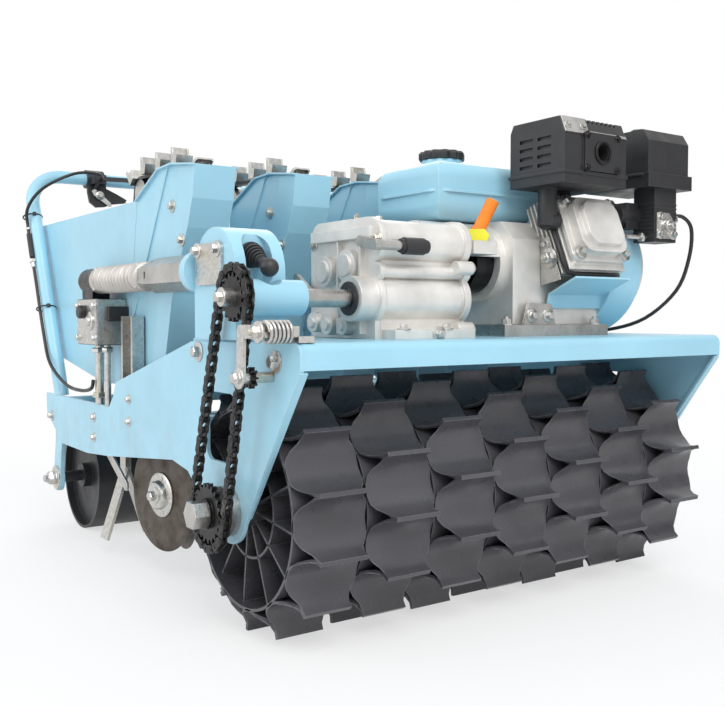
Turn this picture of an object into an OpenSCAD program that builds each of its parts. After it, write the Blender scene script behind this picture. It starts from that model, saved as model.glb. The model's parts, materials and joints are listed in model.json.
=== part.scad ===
// Walk-behind potato planter with a lugged drive drum, five cup-chain rows and a rear press roller.
// Millimetres, +X forwards, +Y to the machine's left, +Z up. The sub-parts are drawn about the drum
// axle and then set down, so that the origin is the middle of the footprint, at ground level.

/* [Frame] */
// Width over the two side plates
frame_w = 740; // [700:5:800]
// Thickness of the side plates
plate_t = 5; // [4:0.5:8]
// Height of the deck's top above the drum axle
deck_z = 207; // [195:1:230]
// Distance of the deck's front lip ahead of the axle
deck_front = 166; // [164:1:200]
// Length of the deck from front to back
deck_l = 276; // [266:2:300]
// Thickness of the deck sheet
deck_t = 4; // [3:0.5:6]
// Height of the deck's front lip
lip_h = 30; // [24:1:32]

/* [Ground drum] */
// Radius over the lug tips
lug_tip_r = 160; // [150:1:164]
// Lugs round each wheel
lug_count = 13; // [11:1:14]
// Width of a lug at its tip
lug_tip_w = 64; // [50:1:80]
// Thickness of a lug blade
lug_t = 5; // [4:0.5:7]
// Thickness of the moulded skin
skin_t = 4; // [3:0.5:5]
// Wheels side by side on the axle
wheel_count = 7; // [5:1:8]
// Gap between neighbouring wheels
wheel_gap = 4.5; // [3:0.5:8]
// Diameter of the drum axle
axle_d = 25; // [20:1:30]

/* [Seed hopper] */
// Width of the support columns, between the hopper's end wall and a side plate
column_w = 19; // [17:1:24]
// Thickness of the hopper sheet
sheet_t = 3; // [2:0.5:4]
// Width of a row housing
row_w = 62; // [54:1:70]
// Width of a seed cup
cup_w = 26; // [20:1:32]

/* [Openers] */
// Radius of an opener disc
disc_r = 85; // [75:1:95]
// Thickness of an opener disc
disc_t = 3; // [2:0.5:4]
// Angle by which each disc is toed in
disc_toe = 8; // [5:1:9]

/* [Press roller] */
// Radius of the press roller
roller_r = 98; // [85:1:105]
// Clearance between the press roller's end and a side plate
roller_gap = 45; // [20:1:80]
// Diameter of the roller's axle
roller_axle_d = 20; // [16:1:24]

/* [Handlebar] */
// Diameter of the handlebar tube
handle_d = 25; // [20:1:30]
// Bend radius at the handlebar's corners
handle_bend = 65; // [50:1:90]
// Distance of the crossbar behind the axle
handle_x = 872; // [860:1:920]
// Height of the crossbar above the axle
handle_z = 512; // [480:2:560]

/* [Drive] */
// Teeth of the sprocket on the drum axle
drum_teeth = 21; // [19:1:23]
// Teeth of the sprocket on the gearbox shaft
shaft_teeth = 17; // [14:1:18]
// Pitch of the drive chain
chain_pitch = 12.7; // [12:0.1:13]
// Diameter of the gearbox output shaft
shaft_d = 22; // [18:1:24]

/* [Hidden] */
$fn = 64;

// Colours
paint = "skyblue";
zinc = "lightgray";
black = [0.16, 0.16, 0.17];
alloy = "silver";
steel = [0.55, 0.55, 0.57];

// Clearances: running fit of a shaft in its bore, and free space round moving pieces
run_fit = 0.05;
free_gap = 5.5;

// Frame
frame_half = frame_w / 2;
plate_in = frame_half - plate_t;
deck_rear = deck_front - deck_l;
flange_d = plate_t + free_gap;

// Drum: a lug's blade is what two neighbouring valleys leave standing
drum_half = frame_half - flange_d - free_gap;
wheel_w = (2 * drum_half - (wheel_count - 1) * wheel_gap) / wheel_count;
lug_step = 360 / lug_count;
valley_r = lug_tip_r * sin(lug_step / 2) - lug_t / 2;
floor_r = lug_tip_r - valley_r;
rim_r = floor_r - skin_t;
tip_half = lug_step / 2 - 2 * asin(valley_r / (2 * lug_tip_r));
valley_reach = acos(valley_r / (2 * lug_tip_r));
hollow_r = valley_r + skin_t;
hollow_top = lug_tip_r * cos(lug_step / 2) - sqrt(hollow_r ^ 2 - (lug_tip_r * sin(lug_step / 2)) ^ 2);
hollow_reach = atan2(hollow_top * sin(lug_step / 2), lug_tip_r - hollow_top * cos(lug_step / 2));
ground_h = lug_tip_r * cos(lug_step / 4 - tip_half);
axle_r = axle_d / 2;
leg_r = axle_r + 28;

// Sprockets and chain
chain_y = -frame_half - 27;
chain_w = 10;
chain_h = 5.5;
sprocket_t = 7;
sprocket_gap = 1;
upper_x = 68;
upper_z = deck_z + 50;
drum_pitch_r = chain_pitch / (2 * sin(180 / drum_teeth));
shaft_pitch_r = chain_pitch / (2 * sin(180 / shaft_teeth));
idler_pitch_r = chain_pitch / (2 * sin(180 / 9));
shaft_r = shaft_d / 2;
nut_l = 18;
hub_l = 4;
axle_right = chain_y - sprocket_t / 2 - hub_l - nut_l;
bearing_w = 12;
stub_l = 13;
stub_r = axle_r - 1.5;
axle_left = frame_half + bearing_w + stub_l;

// Hopper and rows
row_count = 5;
hopper_half = plate_in - column_w;
row_pitch = (2 * hopper_half - row_w) / (row_count - 1);
row_y = [for (i = [0 : row_count - 1]) (i - (row_count - 1) / 2) * row_pitch];
hopper_rim_z = 410;
hopper_front = -351;
hopper_side = [[-852, hopper_rim_z], [-732, 161], [-511, 127], [-400, 127]];
hopper_sill = hopper_side[3] + 0.19 * ([hopper_front, hopper_rim_z] - hopper_side[3]);
lift_points = [[-440, 215], [-400, 428], [-225, 425]];
lift_r = 22;
belt_t = 5;
belt_w = 12;
cup_h = 27;
cup_d = 20;
seed_shaft_r = 8;

// Openers
disc_x = -300;
disc_z = -32;
disc_half = disc_r * sin(disc_toe) + free_gap / 2;
toolbar_w = 30;
front_bar = [-250, 72];
rear_bar = [-490, 50];

// Press roller, below the rear end of the side plates
foot_x = -680;
foot_z = 93;
roller_x = foot_x - 25;
roller_z = roller_r - ground_h;
roller_axle_r = roller_axle_d / 2;
roller_l = 2 * (plate_in - roller_gap);

// Handlebar: its foot stands on the side plate's rear top edge
handle_r = handle_d / 2;
handle_y = hopper_half + handle_r + 3;
clamp_t = 6;
handle_lean = atan2(handle_x + foot_x, handle_z - foot_z);
handle_len = norm([handle_x + foot_x, handle_z - foot_z]);
lever_y = handle_bend - handle_y + 64;
function leg_x(z) = foot_x - (z - foot_z) * tan(handle_lean);

// Place of the drum axle in the finished part
shift_x = (handle_x + handle_r + clamp_t - deck_front) / 2;
shift_y = -(axle_right + axle_left) / 2;

module place() {
    translate([shift_x, shift_y, ground_h]) children();
}

// Helpers: a flat outline in X and Z drawn between two values of Y, rods along an axis, and a box
module slab(y0, y1) {
    translate([0, y1, 0]) rotate([90, 0, 0]) linear_extrude(y1 - y0) children();
}
module rod_y(p, r, y0, y1) {
    translate([p[0], y0, p[1]]) rotate([-90, 0, 0]) cylinder(r = r, h = y1 - y0);
}
module rod_x(y, z, r, x0, x1) {
    translate([x0, y, z]) rotate([0, 90, 0]) cylinder(r = r, h = x1 - x0);
}
module box(x, y, z) {
    translate([x[0], y[0], z[0]]) cube([x[1] - x[0], y[1] - y[0], z[1] - z[0]]);
}
module round_rect(x, z, r) {
    translate([x[0] + r, z[0]]) square([x[1] - x[0] - 2 * r, z[1] - z[0]]);
    translate([x[0], z[0] + r]) square([x[1] - x[0], z[1] - z[0] - 2 * r]);
    for (cx = [x[0] + r, x[1] - r], cz = [z[0] + r, z[1] - r]) translate([cx, cz]) circle(r);
}

// Round-ended bar; its straight part is a hair narrower than its ends, so that the outline closes cleanly
module bar(a, b, w) {
    d = b - a;
    for (p = [a, b]) translate(p) circle(w / 2);
    translate(a) rotate(atan2(d[1], d[0])) translate([0, -0.498 * w]) square([norm(d), 0.996 * w]);
}

// Folded sheet of thickness t along a line of points, with mitred corners
function unit(v) = v / norm(v);
function mitre(p, i) = let (
    m = len(p) - 1,
    a = unit(p[max(i, 1)] - p[max(i, 1) - 1]),
    b = unit(p[min(i, m - 1) + 1] - p[min(i, m - 1)]))
    [-a[1] - b[1], a[0] + b[0]] / (1 + a * b);
function beside(p, d) = [for (i = [0 : len(p) - 1]) p[i] + d * mitre(p, i)];
module folded(points, t) {
    back = beside(points, -t / 2);
    m = len(points) - 1;
    polygon(concat(beside(points, t / 2), [for (i = [m : -1 : 0]) back[i]]));
}
module both_sides() {
    children();
    mirror([0, 1, 0]) children();
}

// A closed belt line round three equal wheels, as a filled outline grown by r
module belt_fill(points, r) {
    n = len(points);
    polygon(points);
    for (i = [0 : n - 1]) {
        d = points[(i + 1) % n] - points[i];
        translate(points[i]) rotate(atan2(d[1], d[0])) translate([0, -0.996 * r])
            square([norm(d), 1.992 * r]);
        translate(points[i]) circle(r);
    }
}

// Drive chain's loop round both sprockets: a point at a distance along it, moved outwards by h
chain_span = [upper_x, upper_z];
chain_lean = atan2(upper_z, upper_x);
chain_open = acos((drum_pitch_r - shaft_pitch_r) / norm(chain_span));
chain_run = sqrt(norm(chain_span) ^ 2 - (drum_pitch_r - shaft_pitch_r) ^ 2);
chain_low = drum_pitch_r * (360 - 2 * chain_open) * PI / 180;
chain_top = shaft_pitch_r * 2 * chain_open * PI / 180;
chain_l = chain_low + chain_top + 2 * chain_run;
links = 2 * round(chain_l / chain_pitch / 2);
function toward(a) = [cos(a), sin(a)];
function on_arc(c, r, a, s, h) = c + (r + h) * toward(a + s / r * 180 / PI);
function on_run(a, s, h) = (drum_pitch_r + h) * toward(a) * (1 - s / chain_run)
    + (chain_span + (shaft_pitch_r + h) * toward(a)) * s / chain_run;
function on_chain(s, h) = s < chain_low ? on_arc([0, 0], drum_pitch_r, chain_lean + chain_open, s, h)
    : s < chain_low + chain_run ? on_run(chain_lean - chain_open, s - chain_low, h)
    : s < chain_l - chain_run
    ? on_arc(chain_span, shaft_pitch_r, chain_lean - chain_open, s - chain_low - chain_run, h)
    : on_run(chain_lean + chain_open, chain_l - s, h);
module chain_side(h) {
    waist = 0.62 * h;
    polygon([for (k = [0 : links - 1], e = [[-0.2, h], [0.2, h], [0.5, waist]])
        on_chain((k + 0.5 + e[0]) * chain_l / links, e[1])]);
}

module sprocket_outline(teeth, tip_r) {
    step = 360 / teeth;
    root_r = tip_r - 5;
    polygon([for (i = [0 : teeth - 1], c = [[-0.3, root_r], [-0.12, tip_r], [0.12, tip_r], [0.3, root_r]])
        c[1] * toward((i + c[0]) * step)]);
}

// Smooth route through hand-chosen points, and a round tube swept along it
function bend(a, b, c, d, t) = 0.5 * (2 * b + (c - a) * t + (2 * a - 5 * b + 4 * c - d) * t * t
    + (3 * b - a - 3 * c + d) * t * t * t);
function route(p, n) = let (m = len(p) - 1) [for (i = [0 : m - 1], k = [0 : n - 1])
    bend(p[max(i - 1, 0)], p[i], p[i + 1], p[min(i + 2, m)], k / n), p[m]];
module swept_tube(path, r, sides = 8, side_of = [0.31, 0.87, 0.38]) {
    m = len(path);
    ring = [for (i = [0 : m - 1]) let (
        t = unit(path[min(i + 1, m - 1)] - path[max(i - 1, 0)]),
        u = unit(cross(t, is_list(side_of[0]) ? side_of[i] : side_of)), v = cross(t, u))
        for (k = [0 : sides - 1]) path[i] + r * (cos(360 * k / sides) * u + sin(360 * k / sides) * v)];
    walls = [for (i = [0 : m - 2], k = [0 : sides - 1]) let (j = (k + 1) % sides)
        [i * sides + k, i * sides + j, (i + 1) * sides + j, (i + 1) * sides + k]];
    ends = [[for (k = [sides - 1 : -1 : 0]) k], [for (k = [0 : sides - 1]) (m - 1) * sides + k]];
    polyhedron(ring, concat(walls, ends));
}

// Frame

module deck_plate() {
    r = 10;
    color(paint) place() slab(-plate_in, plate_in) {
        translate([deck_rear, deck_z - deck_t]) square([deck_l - r, deck_t]);
        translate([deck_rear, deck_z - lip_h]) square([deck_t, lip_h]);
        translate([deck_front - deck_t, deck_z - lip_h]) square([deck_t, lip_h - r]);
        translate([deck_front - r, deck_z - r]) intersection() {
            difference() {
                circle(r);
                circle(r - deck_t);
            }
            square(r);
        }
    }
}

module plate_outline() {
    difference() {
        union() {
            polygon([[deck_front - 12, deck_z], [-105, deck_z - 4], [-383, 133], [-395, 111], [-413, foot_z],
                [foot_x - 65, foot_z], [foot_x - 63, 57], [-655, 8], [-520, 7], [-420, 14], [-170, 40],
                [-120, 32], [-90, 8], [-leg_r * 0.6, -leg_r * 0.8], [leg_r * 0.95, -leg_r * 0.3],
                [deck_front, deck_z - lip_h], [deck_front, deck_z - 12]]);
            translate([deck_front - 12, deck_z - 12]) circle(12);
            circle(leg_r);
        }
        circle(axle_r + run_fit);
        round_rect([-62, 16], [56, 142], 14);
    }
}

module side_plate() {
    slab(-frame_half, -plate_in) plate_outline();
    slab(-frame_half, -frame_half + flange_d)
        folded([[deck_front - 2, deck_z - lip_h - 2], [leg_r * 0.95 - 2, -leg_r * 0.3 + 8]], 4);
}

module side_plate_right() {
    color(paint) place() side_plate();
}

module side_plate_left() {
    color(paint) place() mirror([0, 1, 0]) side_plate();
}

module cross_tubes() {
    color(paint) place() {
        rod_y([foot_x, 78], 11, -plate_in, plate_in);
        for (bar = [front_bar, rear_bar]) slab(-plate_in, plate_in) difference() {
            translate(bar) square(toolbar_w, center = true);
            translate(bar) square(toolbar_w - 6, center = true);
        }
    }
}

module handlebar() {
    straight = handle_len - handle_bend;
    color(paint) place() intersection() {
        translate([foot_x, 0, foot_z]) rotate([0, -handle_lean, 0]) {
            both_sides() {
                translate([0, -handle_y, -2 * handle_r]) cylinder(r = handle_r, h = straight + 2 * handle_r);
                translate([0, -handle_y + handle_bend, straight]) rotate([90, 0, -90])
                    rotate_extrude(angle = 90) translate([handle_bend, 0]) circle(handle_r);
            }
            rod_y([0, handle_len], handle_r, -handle_y + handle_bend, handle_y - handle_bend);
        }
        box([-1000, 0], [-frame_w, frame_w], [foot_z, 600]);
    }
}

module clutch_lever() {
    clamp_w = 35;
    lever_l = 110;
    color(black) place() translate([-handle_x, lever_y, handle_z]) {
        difference() {
            union() {
                rod_y([0, 0], handle_r + clamp_t, -clamp_w / 2, clamp_w / 2);
                box([8, 40], [-clamp_w / 2 + 5, clamp_w / 2 - 5], [-12, 6]);
            }
            rod_y([0, 0], handle_r + run_fit, -clamp_w, clamp_w);
        }
        translate([30, -8, -6]) rotate([0, 0, -8]) cube([10, lever_l, 8]);
    }
}

// Clutch cable: from the lever round the handlebar's corner, down its leg and forwards to the seed drive
cable_y = -frame_half - 8;
clutch_route = concat(
    [for (p = [[41, 0, -4], [57, -1, -3], [74, -20, 2], [86, -68, -4]]) p + [-handle_x, lever_y, handle_z]],
    [[leg_x(478) + 57, cable_y + 23, 478], [leg_x(440) + 24, cable_y - 2, 440]],
    [for (z = [400, 300, 200]) [leg_x(z), cable_y, z]],
    [[-690, cable_y - 1, 150], [-600, cable_y - 2, 118], [-520, cable_y - 2, 112],
        [-472, cable_y - 0.5, 118], [-462, cable_y, 132]]);
module clutch_cable() {
    color(black) place() swept_tube(route(clutch_route, 6), 3);
}

// Seed hopper, row housings and lifts

module seed_hopper() {
    side = concat(hopper_side, [[hopper_front, hopper_rim_z]]);
    color(paint) place() {
        both_sides() slab(-hopper_half, -hopper_half + sheet_t) difference() {
            polygon(beside(side, -sheet_t / 2));
            translate(lift_points[0]) circle(seed_shaft_r + run_fit);
        }
        slab(-hopper_half, hopper_half) folded(concat(hopper_side, [hopper_sill]), sheet_t);
        for (i = [0 : row_count - 2])
            slab(row_y[i] + row_w / 2, row_y[i + 1] - row_w / 2)
                folded([hopper_side[3], [hopper_front, hopper_rim_z]], sheet_t);
    }
}

// Each side of a row housing: a panel behind a slanting joggle, a recessed band ahead of it, and the
// front hood's flange, which stands as proud as the panel
housing_face = [[-146, 440], [-154, 395], [-170, 357], [-222, 267], [-245, 187], [-272, 95]];
joggle = [[-232, 448], [-382, 212]];
joggle_d = 2.5;
hood_d = 46;
module housing_panel() {
    polygon([[hopper_front + 3, hopper_rim_z], [-261, 447], joggle[0], joggle[1]]);
}
module housing_band() {
    lap = [-3, 0];
    polygon(concat([joggle[0] + lap, [-215, 449]], housing_face,
        [[-350, 95], hopper_side[3] + [3, 0], joggle[1]]));
}
module hood_flange() {
    m = len(housing_face) - 1;
    polygon(concat(housing_face, [for (i = [m : -1 : 0]) housing_face[i] - [hood_d, 0]]));
}

module row_housings() {
    half = row_w / 2;
    color(paint) place() for (y = row_y) translate([0, y, 0]) {
        both_sides() {
            slab(-half, sheet_t - half) {
                housing_panel();
                hood_flange();
            }
            slab(joggle_d - half, joggle_d + sheet_t - half) housing_band();
        }
        slab(-half, half) folded(housing_face, sheet_t);
    }
}

module cup_chains() {
    color(black) place() for (y = row_y) slab(y - belt_w / 2, y + belt_w / 2) difference() {
        belt_fill(lift_points, lift_r + belt_t);
        belt_fill(lift_points, lift_r);
    }
}

// Seed cup: a scoop with a tall back and a low front lip, standing on the belt
module seed_cup() {
    wall = 2.5;
    half = cup_d / 2;
    lip = 0.55 * cup_h;
    difference() {
        slab(-cup_w / 2, cup_w / 2) polygon([[-half, 0], [half - 4, 0], [half, lip], [7 - half, lip + 2],
            [4 - half, cup_h], [-half, cup_h]]);
        slab(wall - cup_w / 2, cup_w / 2 - wall) polygon([[wall - half, wall], [half - 4 - wall, wall],
            [half - wall, cup_h + 1], [wall - half, cup_h + 1]]);
    }
}

module cup_on_belt(p, y, heading) {
    translate([p[0], y, p[1]]) rotate([0, -heading, 0]) translate([0, 0, lift_r + belt_t]) seed_cup();
}

module seed_cups() {
    n = len(lift_points);
    cup_pitch = 50;
    run = [for (i = [0 : n - 1]) lift_points[(i + 1) % n] - lift_points[i]];
    heading = [for (d = run) atan2(d[1], d[0])];
    color(zinc) place() for (y = row_y) {
        for (i = [0 : n - 1]) {
            count = floor(norm(run[i]) / cup_pitch);
            for (k = [0 : count - 1])
                cup_on_belt(lift_points[i] + run[i] * (k + 0.5) / count, y, heading[i]);
        }
        for (i = [1, 2]) cup_on_belt(lift_points[i], y, (heading[i - 1] + heading[i]) / 2);
    }
}

module lift_frames() {
    side_y = belt_w / 2 + 3;
    color(steel) place() for (y = row_y) difference() {
        union() {
            slab(y + side_y, y + side_y + 4) belt_fill(lift_points, 14);
            for (p = lift_points) rod_y(p, lift_r - 0.2, y - belt_w / 2, y + side_y);
            rod_y(lift_points[2], 6, y - row_w / 2 + sheet_t + joggle_d, y + row_w / 2 - sheet_t - joggle_d);
        }
        rod_y(lift_points[0], seed_shaft_r + run_fit, y - row_w, y + row_w);
    }
}

module seed_shaft() {
    color(steel) place() rod_y(lift_points[0], seed_shaft_r, -frame_half - 2, hopper_half + 8);
}

// Supports and seed drive on the right-hand side

column_x = [-372, -326];
column_z = [60, 235];
module support_columns() {
    wall = 6;
    back = 4;
    color(zinc) place() both_sides() difference() {
        box(column_x, [-plate_in, -hopper_half], column_z);
        box(column_x + [wall, -wall], [-plate_in - 1, -hopper_half - back], column_z + [-1, 1]);
    }
}

driveline_y = -frame_half - 4;
driveline_z = deck_z + 84;
case_z = 190;
module seed_drive_case() {
    color(black) place() difference() {
        union() {
            box([-492, -398], [-frame_half - 22, -hopper_half], [case_z, 262]);
            rod_x(driveline_y, driveline_z, 20, -482, -430);
            box([-480, -432], [driveline_y - 14, driveline_y + 14], [258, driveline_z]);
        }
        rod_y(lift_points[0], seed_shaft_r + run_fit, -frame_half - 2, 0);
    }
}

module adjuster_rods() {
    color(zinc) place() for (rod = [[-462, 7], [-424, 5]])
        translate([rod[0], -frame_half + plate_t / 2, foot_z]) cylinder(r = rod[1], h = case_z - foot_z);
}

// Drive box with a slot in its front for the shift lever's boot
boot_at = [26, -frame_half + 16, deck_z + 101];
module bevel_box() {
    x = [-60, 50];
    near = -frame_half - 16;
    inner = near + 66;
    square_h = 80;
    arch_r = (x[1] - x[0]) / 2;
    color(paint) place() difference() {
        union() {
            slab(near, inner) {
                translate([x[0], deck_z]) square([2 * arch_r, square_h]);
                translate([x[0] + arch_r, deck_z + square_h]) circle(arch_r);
            }
            box(x + [-12, 14], [-plate_in + 2, inner + 8], [deck_z, deck_z + 8]);
            rod_y([upper_x, upper_z], shaft_r + 10, near + 4, inner + 9);
            rod_x(driveline_y, driveline_z, 27, x[0] - 14, x[0]);
        }
        rod_y([upper_x, upper_z], shaft_r + run_fit, near - 10, inner + 20);
        box(x + [-20, 60], [near - 1, -plate_in + 0.5], [0, deck_z + 1]);
        translate([boot_at[0], boot_at[1], 0]) rotate([90, 0, 90]) linear_extrude(60)
            round_rect([-18, 18], [boot_at[2] - 37, boot_at[2] + 25], 16);
    }
}

module bevel_cover() {
    color(zinc) place() slab(-frame_half - 20, -frame_half - 16)
        round_rect([-52, 20], [deck_z + 66, deck_z + 116], 8);
}

module shift_boot() {
    color(black) place() translate(boot_at) {
        rotate([0, 90, 0]) cylinder(r = 15.5, h = 5);
        translate([5.4, 0, 0]) rotate([0, 112, 0]) {
            for (k = [0 : 4]) translate([0, 0, 5 * k]) cylinder(r = 14 - 1.5 * k, h = 3.5);
            cylinder(r = 6.5, h = 42);
            translate([0, 0, 44]) sphere(11);
        }
    }
}

module coupling_sleeves() {
    ends = [-214, -74];
    notch = [14, 9];
    color(steel) place() {
        difference() {
            translate([ends[0], driveline_y, driveline_z]) rotate([0, 90, 0])
                cylinder(r = 24, h = ends[1] - ends[0], $fn = 6);
            for (x = [ends[0] - 1, ends[1] - notch[0]], a = [30, 90, 150])
                translate([x, driveline_y, driveline_z]) rotate([a, 0, 0])
                    translate([0, -notch[1] / 2, -30]) cube([notch[0] + 1, notch[1], 60]);
            rod_x(driveline_y, driveline_z, 12, ends[0] - 1, ends[1] + 1);
        }
        rod_x(driveline_y, driveline_z, 12.5, ends[0] + 20, ends[1]);
        translate([-236, driveline_y, driveline_z]) rotate([0, 90, 0]) cylinder(r = 20, h = 23, $fn = 6);
        rod_x(driveline_y, driveline_z, 12, -430, ends[0] + 30);
    }
}

module coupling_spring() {
    turns = 14;
    steps = 16;
    wire_r = 5;
    coil_r = 12 + wire_r + 0.4;
    x0 = -424;
    pitch = (-238 - wire_r - x0) / turns;
    out = [for (k = [0 : turns * steps]) [0, cos(360 * k / steps), sin(360 * k / steps)]];
    color(zinc) place() swept_tube([for (k = [0 : turns * steps])
        [x0 + pitch * k / steps, driveline_y, driveline_z] + coil_r * out[k]], wire_r, 6, out);
}

// Gearbox and its drive to the drum

gearbox_x = [-58, 98];
gearbox_y = [-215, -72];
gearbox_h = 148;
module gearbox_outline(grow) {
    roll = 27 + grow;
    crown = 20 + grow;
    top = deck_z + gearbox_h + grow;
    front = gearbox_x[1] + grow;
    rear = gearbox_x[0] - grow;
    translate([rear, deck_z]) square([front - 14 - rear, gearbox_h - 22]);
    translate([rear + crown, top - 40]) square([front - roll - rear - crown, 40]);
    translate([front - roll, top - roll]) circle(roll);
    translate([rear + crown, top - crown]) circle(crown);
    translate([front - 10 - grow, deck_z + 84]) circle(8 + grow);
    translate([upper_x, upper_z]) circle(gearbox_x[1] - upper_x + grow);
}

// Columns: X and height above the deck of a boss on the gearbox's end, and its radius
end_bosses = [[-13, 86, 20], [38, 92, 20], [-40, 20, 13], [-6, 18, 14], [30, 16, 12]];
bell_r = [48, 56];
module gearbox_case() {
    y = gearbox_y;
    z = deck_z;
    color(alloy) place() difference() {
        union() {
            slab(y[0] + 8, y[1] - 10) gearbox_outline(0);
            slab(y[0], y[0] + 8) gearbox_outline(3);
            slab(y[1] - 10, y[1]) gearbox_outline(4);
            box([gearbox_x[0] - 8, gearbox_x[1] + 14], [y[0] + 12, y[1] - 2], [z, z + 12]);
            for (b = end_bosses) rod_y([b[0], z + b[1]], b[2], y[0] - 12, y[0] + 4);
            for (b = end_bosses) rod_y([b[0], z + b[1]], b[2] - 6, y[0] - 15, y[0]);
            box(gearbox_x + [12, -8], [y[0] - 10, y[0] + 2], [z + gearbox_h - 24, z + gearbox_h - 10]);
            for (x = [12, 62]) box([x, x + 4], [y[0] - 8, y[0] + 2], [z + 6, z + gearbox_h - 20]);
            rod_y([upper_x, upper_z], 28, y[0] - 26, y[0] + 4);
            for (h = [12, 90]) rod_y([gearbox_x[1] + 1, z + h], 9, y[1] - 26, y[1] + 7);
            rod_y(crank, bell_r[1], y[1] - 2, engine_y[0] - 10);
            box([20, 72], [-42, 0], [z + 112, z + 130]);
        }
        rod_y([upper_x, upper_z], shaft_r + run_fit, y[0] - 40, y[0] + 10);
        rod_y(crank, bell_r[0], y[1], engine_y[0]);
        box([crank[0] - 10, 200], [y[1], engine_y[0]], [z, z + 112]);
    }
}

// Selector: a lever along the gearbox's front top edge, and a small arm on its end
selector = [gearbox_x[1] + 10, deck_z + gearbox_h - 34];
selector_y = [gearbox_y[0] - 18, gearbox_y[0] + 22, gearbox_y[0] + 63];
module selector_rod() {
    pivot = [gearbox_x[0] + 8, deck_z + 58];
    color(steel) place() {
        rod_y(selector, 6, selector_y[0], selector_y[1]);
        slab(selector_y[0], gearbox_y[0] - 10.2) bar(selector, selector - [30, -6], 13);
        slab(gearbox_y[0] - 11, gearbox_y[0] - 5) bar(pivot, pivot + [-34, 22], 12);
        rod_y(pivot, 8, gearbox_y[0] - 16, gearbox_y[0]);
    }
}

module selector_grip() {
    color(black) place() {
        rod_y(selector, 8.5, selector_y[1], selector_y[2]);
        rod_y(selector, 10.5, selector_y[1] + 5, selector_y[2] - 6);
    }
}

module oil_cap() {
    color("orange") place() translate([50, -20, deck_z + 130]) {
        cylinder(r = 14, h = 8);
        translate([0, 0, 6]) rotate([-22, 14, 0]) {
            cylinder(r = 9, h = 56);
            cylinder(r = 11, h = 12);
        }
    }
}

module output_shaft() {
    color(steel) place() rod_y([upper_x, upper_z], shaft_r, chain_y - 16, gearbox_y[0] + 9);
}

module upper_sprocket() {
    color(black) place() slab(chain_y - sprocket_t / 2, chain_y + sprocket_t / 2)
        translate([upper_x, upper_z]) difference() {
            sprocket_outline(shaft_teeth, shaft_pitch_r - chain_h - sprocket_gap);
            circle(shaft_r);
        }
}

module lower_sprocket() {
    color(black) place() difference() {
        union() {
            slab(chain_y - sprocket_t / 2, chain_y + sprocket_t / 2)
                sprocket_outline(drum_teeth, drum_pitch_r - chain_h - sprocket_gap);
            rod_y([0, 0], axle_r + 6, chain_y - sprocket_t / 2 - hub_l, chain_y + sprocket_t / 2 + hub_l);
        }
        rod_y([0, 0], axle_r, chain_y - 50, chain_y + 50);
    }
}

module drive_chain() {
    color(black) place() slab(chain_y - chain_w / 2, chain_y + chain_w / 2) difference() {
        chain_side(chain_h);
        chain_side(-chain_h);
    }
}

idler_at = [upper_x + 38, upper_z - 89];
module chain_tensioner() {
    arm_y = [chain_y - 14, chain_y - 10];
    knee = [idler_at[0] + 2, deck_z + 12];
    heel = [deck_front - 16, deck_z + 12];
    color(zinc) place() {
        slab(arm_y[0], arm_y[1]) {
            bar(idler_at, knee, 15);
            bar(knee, heel, 15);
        }
        rod_y(idler_at, 6, arm_y[0], -frame_half);
        box([heel[0] - 7, heel[0] + 7], [arm_y[1] - 1, -plate_in], [deck_z + 6, deck_z + 18]);
        box([heel[0] - 12, heel[0] + 12], [-frame_half + 1, -plate_in + 16], [deck_z, deck_z + 7]);
    }
}

module idler_sprocket() {
    color(black) place() slab(chain_y - sprocket_t / 2, chain_y + sprocket_t / 2) translate(idler_at)
        difference() {
            sprocket_outline(9, idler_pitch_r - chain_h - sprocket_gap);
            circle(6 + run_fit);
        }
}

// Engine

crank = [-20, deck_z + 106];
engine_y = [50, 226];
cyl_lean = 22;
cyl_y = 165;
head_u = 118;
fin_half = 58;
module on_cylinder() {
    translate([crank[0], cyl_y, crank[1]]) rotate([0, -cyl_lean, 0]) children();
}

module engine_block() {
    x = [crank[0] - 85, crank[0] + 72];
    z = [deck_z + 16, deck_z + 164];
    bevel = 26;
    color(alloy) place() {
        slab(engine_y[0], engine_y[1]) polygon([[x[0], z[0]], [x[1], z[0]], [x[1], z[1] - bevel],
            [x[1] - bevel, z[1]], [x[0] + bevel, z[1]], [x[0], z[1] - bevel]]);
        rod_y(crank, bell_r[1] + 1, engine_y[0] - 10, engine_y[0]);
        on_cylinder() {
            translate([50, -46, -46]) cube([head_u - 50, 92, 92]);
            for (k = [0 : 6]) translate([head_u - 52 + 7.5 * k, -fin_half, -fin_half])
                cube([2.5, 2 * fin_half, 2 * fin_half]);
            translate([head_u - 6, -50, -52]) cube([6, 100, 104]);
        }
    }
}

module rocker_cover() {
    color(alloy) place() on_cylinder() translate([head_u, 0, 0]) rotate([0, 90, 0]) {
        linear_extrude(6) round_rect([-50, 50], [-56, 56], 12);
        linear_extrude(22) round_rect([-42, 42], [-46, 46], 20);
        linear_extrude(30) round_rect([-33, 33], [-36, 36], 18);
        for (x = [-40, 40], y = [-46, 46]) translate([x, y, 0]) cylinder(r = 8, h = 12);
    }
}

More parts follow.
